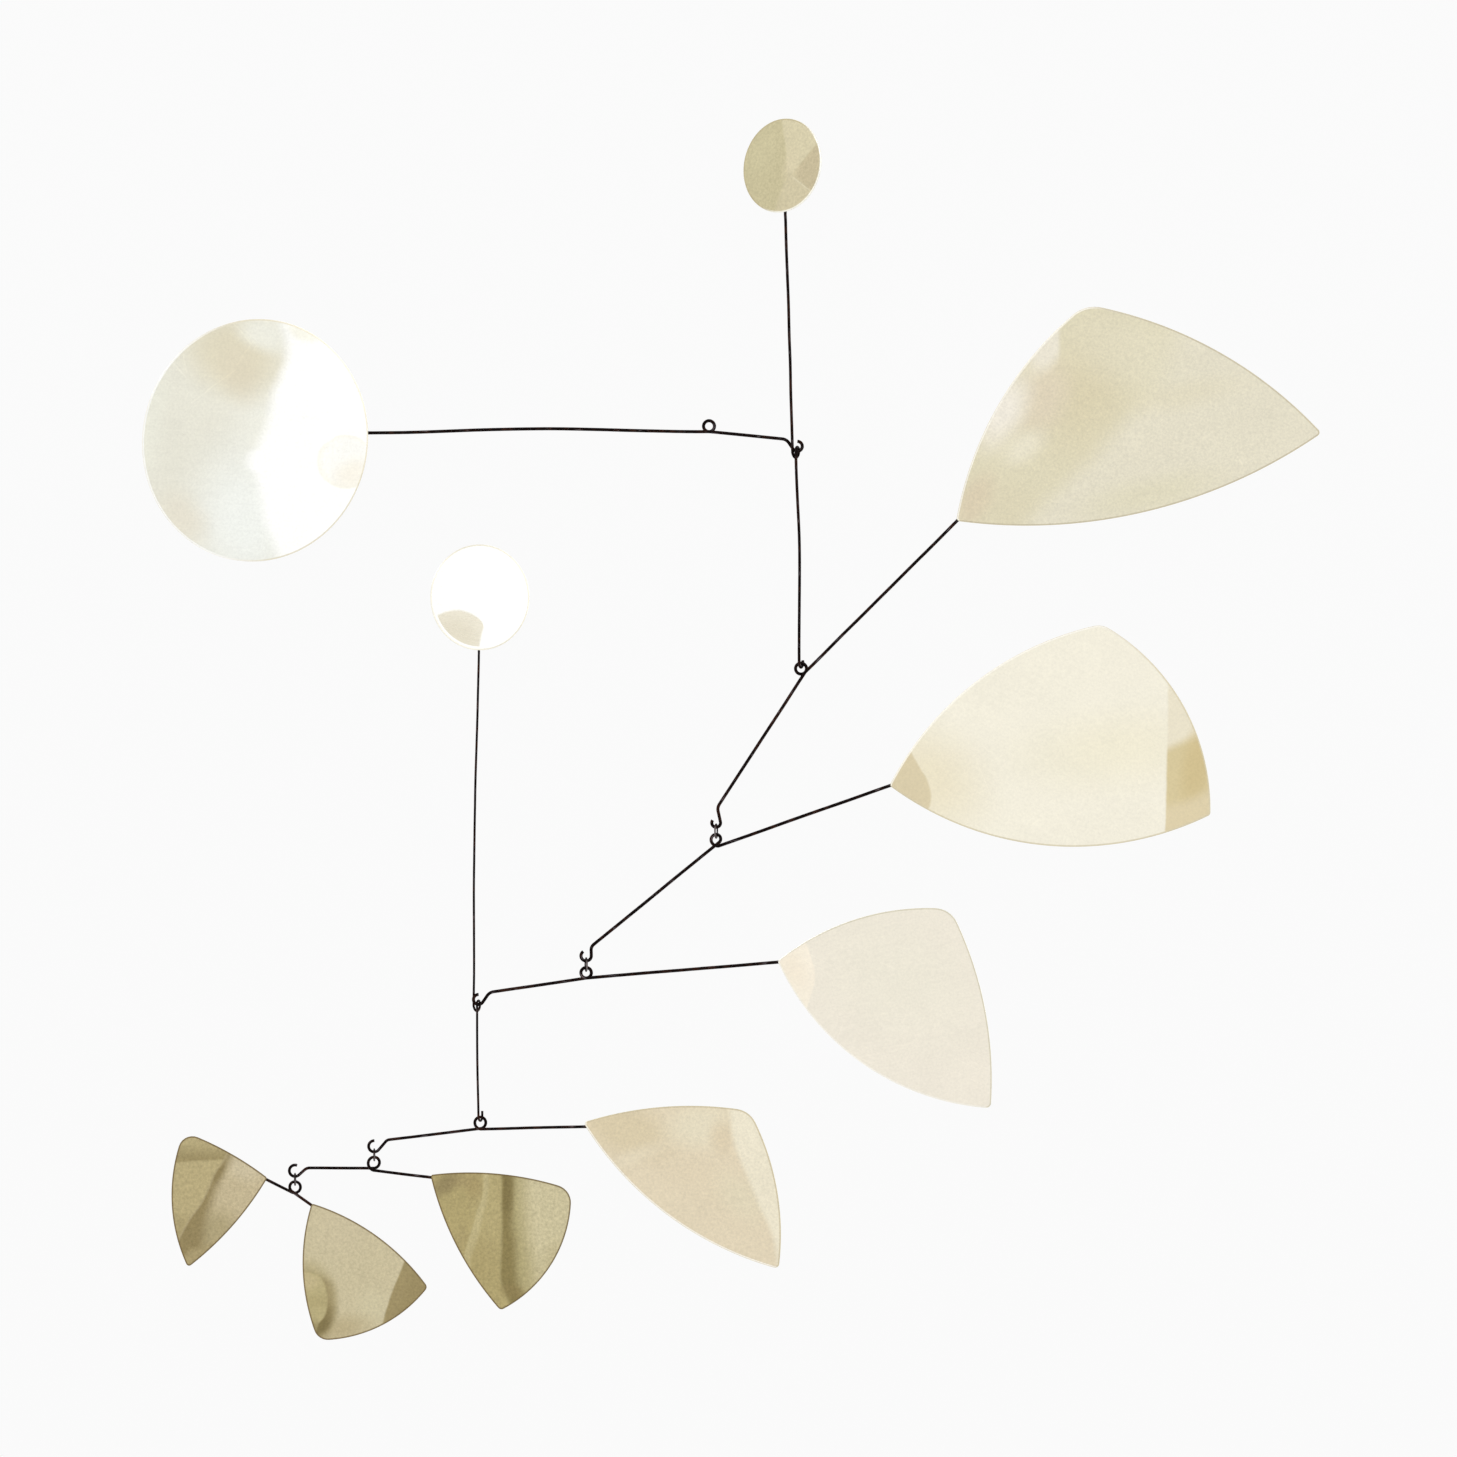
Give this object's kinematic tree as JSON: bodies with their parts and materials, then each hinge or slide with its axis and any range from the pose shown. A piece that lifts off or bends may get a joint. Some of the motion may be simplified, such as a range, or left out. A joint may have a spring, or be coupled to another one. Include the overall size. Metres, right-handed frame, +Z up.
{
  "type": "hanging mobile sculpture",
  "caption": "Hanging kinetic mobile: round and leaf-shaped brass plates on a chain of bent dark wire arms, each swivelling on the hook of the arm above.",
  "frame": {"origin": "middle of the top arm's coil eye, which the whole mobile hangs from", "axes": "+Z up; +X to the right as the picture shows it; +Y away from the front, so the front faces -Y"},
  "size_m": [0.7529, 0.0819, 0.7818],
  "materials": {
    "wire": "darkened, semi-gloss",
    "bright_brass": "polished and finely brushed, pale",
    "warm_brass": "finely brushed, warm beige",
    "olive_brass": "finely brushed, olive tan"
  },
  "bodies": {
    "top_arm": {"arm_1": "wire", "disc_1": "bright_brass"},
    "upright_arm": {"arm_2": "wire", "disc_2": "warm_brass"},
    "slanting_arm": {"arm_3": "wire", "leaf_1": "warm_brass", "ring_1": "wire"},
    "fourth_arm": {"arm_4": "wire", "leaf_2": "bright_brass", "ring_2": "wire"},
    "fifth_arm": {"arm_5": "wire", "leaf_3": "bright_brass"},
    "lower_upright_arm": {"arm_6": "wire", "disc_3": "bright_brass"},
    "seventh_arm": {"arm_7": "wire", "leaf_4": "warm_brass", "ring_3": "wire"},
    "eighth_arm": {"arm_8": "wire", "leaf_5": "olive_brass", "ring_4": "wire"},
    "bottom_arm": {"arm_9": "wire", "leaf_6": "olive_brass", "leaf_7": "olive_brass"}
  },
  "joints": [
    {"name": "upright_arm_swivel", "type": "hinge", "parent": "top_arm", "child": "upright_arm", "pos_m": [0.0565, -0.00123, -0.0161], "axis": [0, 0, 1], "range_deg": [-3, 50]},
    {"name": "slanting_arm_swivel", "type": "hinge", "parent": "upright_arm", "child": "slanting_arm", "pos_m": [0.05888, -0.00219, -0.15435], "axis": [0, 0, 1], "range_deg": [-50, 15]},
    {"name": "fourth_arm_swivel", "type": "hinge", "parent": "slanting_arm", "child": "fourth_arm", "pos_m": [0.00458, -0.00292, -0.25665], "axis": [0, 0, 1], "range_deg": [-45, 35]},
    {"name": "fifth_arm_swivel", "type": "hinge", "parent": "fourth_arm", "child": "fifth_arm", "pos_m": [-0.07862, -0.00386, -0.34225], "axis": [0, 0, 1], "range_deg": [-40, 45]},
    {"name": "lower_upright_arm_swivel", "type": "hinge", "parent": "fifth_arm", "child": "lower_upright_arm", "pos_m": [-0.14752, -0.00267, -0.3701], "axis": [0, 0, 1], "range_deg": [-8, 50]},
    {"name": "seventh_arm_swivel", "type": "hinge", "parent": "lower_upright_arm", "child": "seventh_arm", "pos_m": [-0.14632, -0.00315, -0.44455], "axis": [0, 0, 1], "range_deg": [-60, 12]},
    {"name": "eighth_arm_swivel", "type": "hinge", "parent": "seventh_arm", "child": "eighth_arm", "pos_m": [-0.21422, -0.00205, -0.46445], "axis": [0, 0, 1], "range_deg": [-45, 40]},
    {"name": "bottom_arm_swivel", "type": "hinge", "parent": "eighth_arm", "child": "bottom_arm", "pos_m": [-0.26492, -0.00088, -0.48015], "axis": [0, 0, 1], "range_deg": [-45, 45]}
  ]
}
